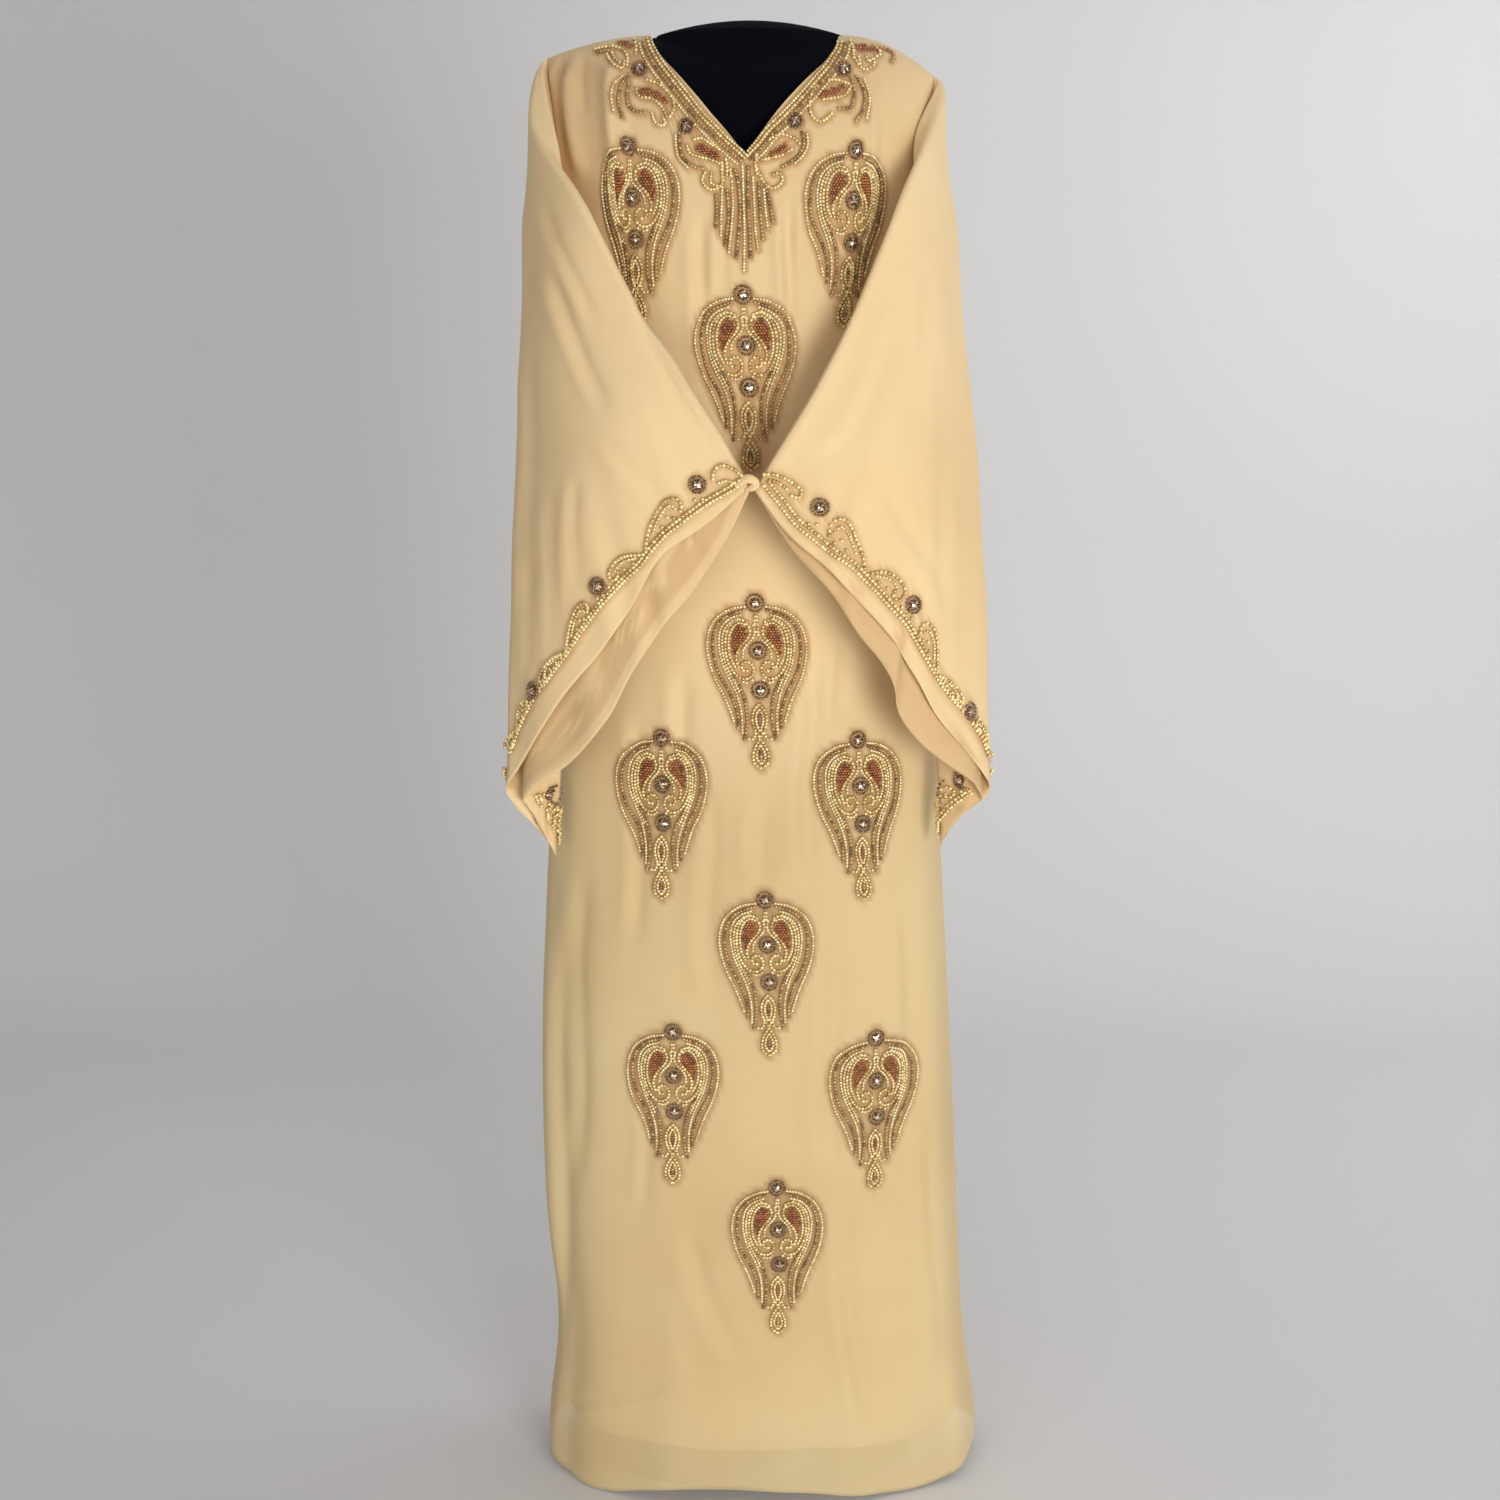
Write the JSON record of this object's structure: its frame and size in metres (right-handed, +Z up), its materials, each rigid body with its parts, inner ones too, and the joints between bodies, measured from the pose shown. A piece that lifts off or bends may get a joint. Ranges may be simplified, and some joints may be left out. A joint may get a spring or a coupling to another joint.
{
  "type": "abaya on a dress form",
  "caption": "Floor-length sheer V-neck abaya with beaded drop motifs and wide open sleeves tacked at the front, on a limbless dress form with a pole and an oval foot.",
  "frame": {"origin": "on the floor, at the middle of the foot's underside, under the pole", "axes": "+Z up, the wearer's front faces -Y, +X is to the right as seen from the front"},
  "size_m": [0.495, 0.3155, 1.5545],
  "materials": {
    "outer_chiffon": "sheer champagne georgette, matte",
    "lining_satin": "opaque champagne lining, low sheen",
    "gold_beadwork": "gold and bronze seed beads with clear stones",
    "form_jersey": "smooth black jersey",
    "stand_steel": "black, satin"
  },
  "bodies": {
    "root": {"body_back": "outer_chiffon", "body_front": "outer_chiffon", "cuff_border_left": "gold_beadwork", "cuff_border_right": "gold_beadwork", "cuff_tack": "outer_chiffon", "dress_form": "form_jersey", "lining_skirt": "lining_satin", "motif_centre_1": "gold_beadwork", "motif_centre_2": "gold_beadwork", "motif_centre_3": "gold_beadwork", "motif_centre_4": "gold_beadwork", "motif_chest_left": "gold_beadwork", "motif_chest_right": "gold_beadwork", "motif_hip_left": "gold_beadwork", "motif_hip_right": "gold_beadwork", "motif_knee_left": "gold_beadwork", "motif_knee_right": "gold_beadwork", "neck_border_left": "gold_beadwork", "neck_border_right": "gold_beadwork", "neck_fringe": "gold_beadwork", "sleeve_left": "outer_chiffon", "sleeve_right": "outer_chiffon", "stand_foot": "stand_steel", "stand_pole": "stand_steel"}
  },
  "joints": []
}
